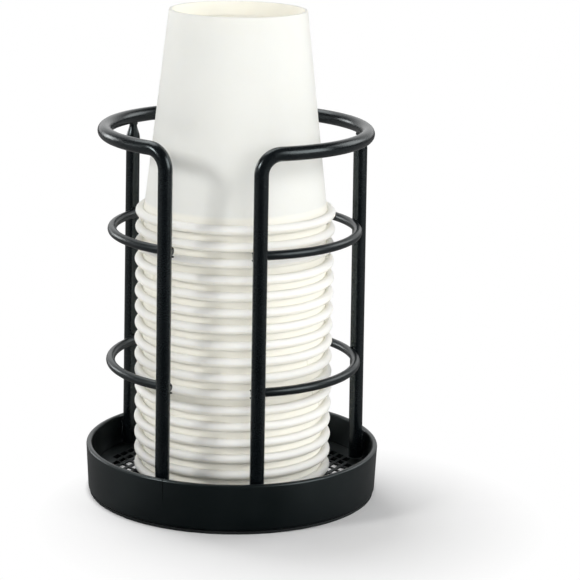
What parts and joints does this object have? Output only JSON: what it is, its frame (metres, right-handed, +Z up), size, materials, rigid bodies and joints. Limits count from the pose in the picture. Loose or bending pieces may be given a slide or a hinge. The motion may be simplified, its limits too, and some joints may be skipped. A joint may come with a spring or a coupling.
{
  "type": "cup dispenser",
  "caption": "Open wire cage on a round tray with a raised mesh floor, which holds a column of nested paper cups mouth down and is open at the front for fingers.",
  "frame": {"origin": "middle of the tray, on the surface that the holder stands on", "axes": "+Z up; the opening between the front posts faces -Y, so +X is to the right of someone who faces it"},
  "size_m": [0.1056, 0.1056, 0.175],
  "materials": {
    "band_powder_coat": "satin black powder coat with a fine orange-peel surface",
    "floor_powder_coat": "matt black powder coat on expanded metal",
    "wire_powder_coat": "semi-gloss black powder coat on round wire",
    "foot_rubber": "matt black rubber",
    "cup_paper": "uncoated off-white paper board, smooth and matt"
  },
  "bodies": {
    "holder": {"tray_band": "band_powder_coat", "foot_ring": "foot_rubber", "tray_floor": "floor_powder_coat", "hoop_and_front_posts": "wire_powder_coat", "back_post_left": "wire_powder_coat", "back_post_right": "wire_powder_coat", "upper_ring": "wire_powder_coat", "lower_ring": "wire_powder_coat"},
    "cup_column": {"cup_01": "cup_paper", "cup_02": "cup_paper", "cup_03": "cup_paper", "cup_04": "cup_paper", "cup_05": "cup_paper", "cup_06": "cup_paper", "cup_07": "cup_paper", "cup_08": "cup_paper", "cup_09": "cup_paper", "cup_10": "cup_paper", "cup_11": "cup_paper", "cup_12": "cup_paper", "cup_13": "cup_paper", "cup_14": "cup_paper", "cup_15": "cup_paper", "cup_16": "cup_paper"},
    "top_cup": {"cup_17": "cup_paper"}
  },
  "joints": [
    {"name": "column_lift", "type": "slide", "parent": "holder", "child": "cup_column", "axis": [0, 0, 1], "range_m": [0, 0.13]},
    {"name": "top_cup_lift", "type": "slide", "parent": "cup_column", "child": "top_cup", "axis": [0, 0, 1], "range_m": [0, 0.07]}
  ]
}
